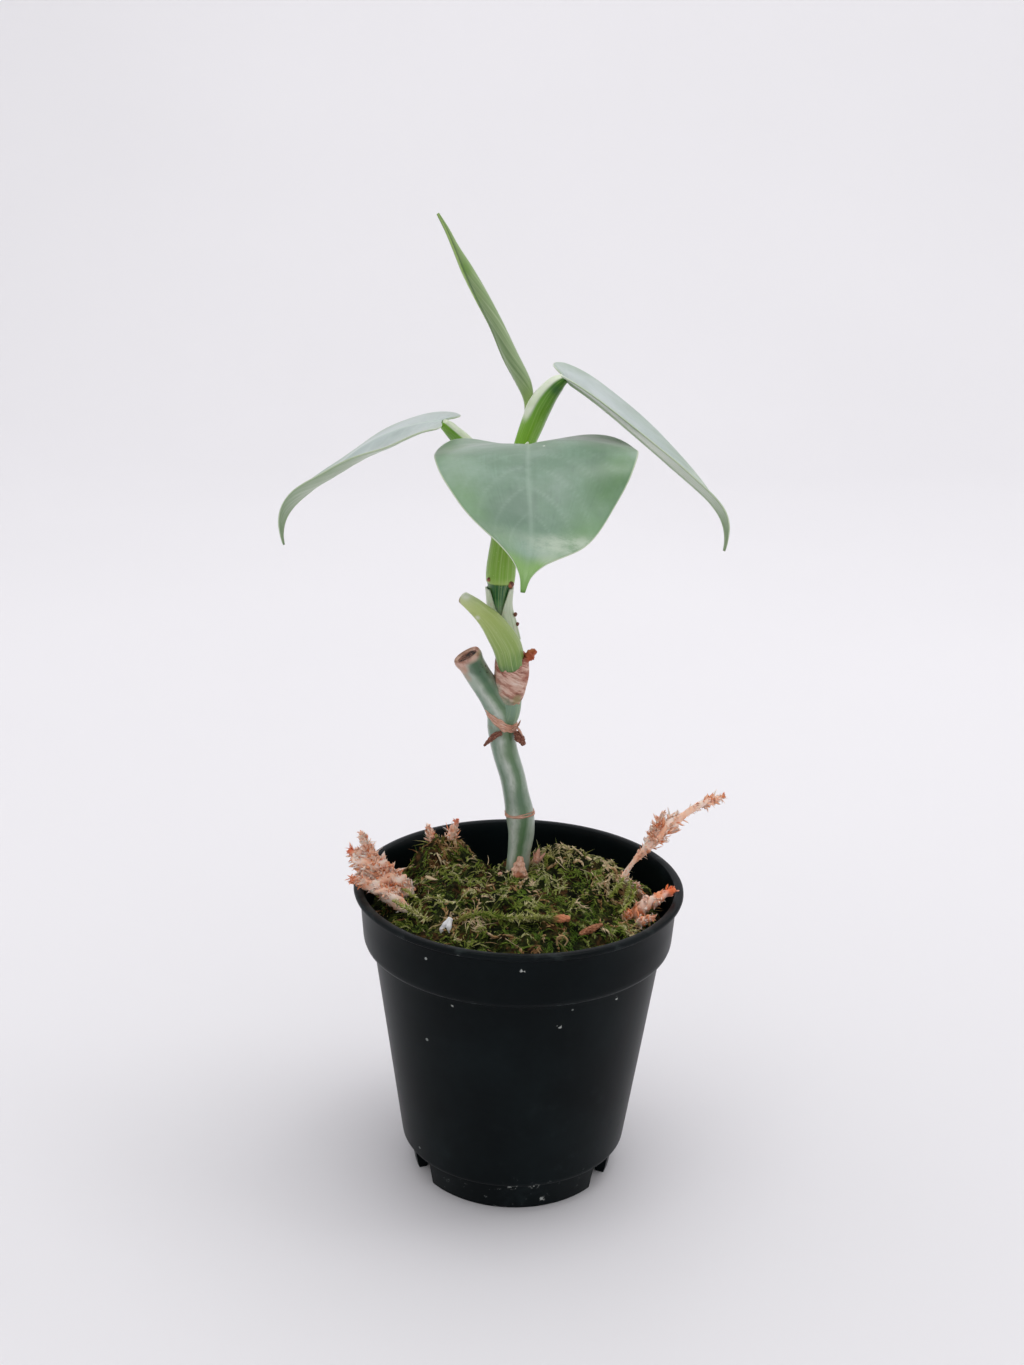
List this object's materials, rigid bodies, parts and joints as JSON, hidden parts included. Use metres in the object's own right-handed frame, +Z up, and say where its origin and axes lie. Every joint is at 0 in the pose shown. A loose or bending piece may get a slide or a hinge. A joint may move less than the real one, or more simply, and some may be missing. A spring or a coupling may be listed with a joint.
{
  "type": "potted philodendron cutting",
  "caption": "Young silver-leaved climbing aroid cutting, with arching heart-shaped leaves and a rolled new leaf on a cane, rooted in moss in a small black plastic nursery pot.",
  "frame": {"origin": "centre of the pot's underside, on the surface that it stands on", "axes": "+Z up along the pot's axis, -Y towards the front leaf, +X towards the leaf that droops on the right"},
  "size_m": [0.1388, 0.1257, 0.2945],
  "materials": {
    "pot_plastic": "satin black plastic with a faint green cast, scuffed and dusty",
    "mix": "damp ground bark and peat",
    "moss": "living moss, dark green to yellow green, with tan fibres",
    "dried_moss": "dead moss bleached tan and orange pink",
    "cane": "grey green stem with a bluish bloom",
    "bark": "papery tan and pinkish bark",
    "brown_bark": "dark red brown dry tissue",
    "stub": "yellow green stalk with fine ribs",
    "shoot": "bright green young stem, paler at the node",
    "sheath": "pale grey green sheath",
    "petiole": "glossy fresh green stalk with a whitish wing",
    "blade": "glaucous blue grey green leaf with a satin sheen",
    "new_leaf": "grey green rolled leaf with a brighter edge",
    "fleck": "white papery scrap"
  },
  "bodies": {
    "root": {"nursery_pot": "pot_plastic", "potting_mix": "mix", "moss_bed": "moss", "dried_moss_left": "dried_moss", "dried_moss_back": "dried_moss", "dried_moss_right": "dried_moss", "dried_moss_tuft": "dried_moss", "moss_twig": "bark", "bark_chip": "brown_bark", "white_fleck": "fleck", "cane": "cane", "bud_scale": "bark", "cane_ring": "bark", "cane_collar": "bark", "root_stub": "brown_bark", "node_nub": "brown_bark", "papery_sheath": "bark", "shoot": "shoot", "petiole_stub": "stub", "shoot_sheath": "sheath", "petiole_left": "petiole", "petiole_front": "petiole", "petiole_right": "petiole", "leaf_left": "blade", "leaf_front": "blade", "leaf_right": "blade", "new_leaf": "new_leaf"}
  },
  "joints": []
}
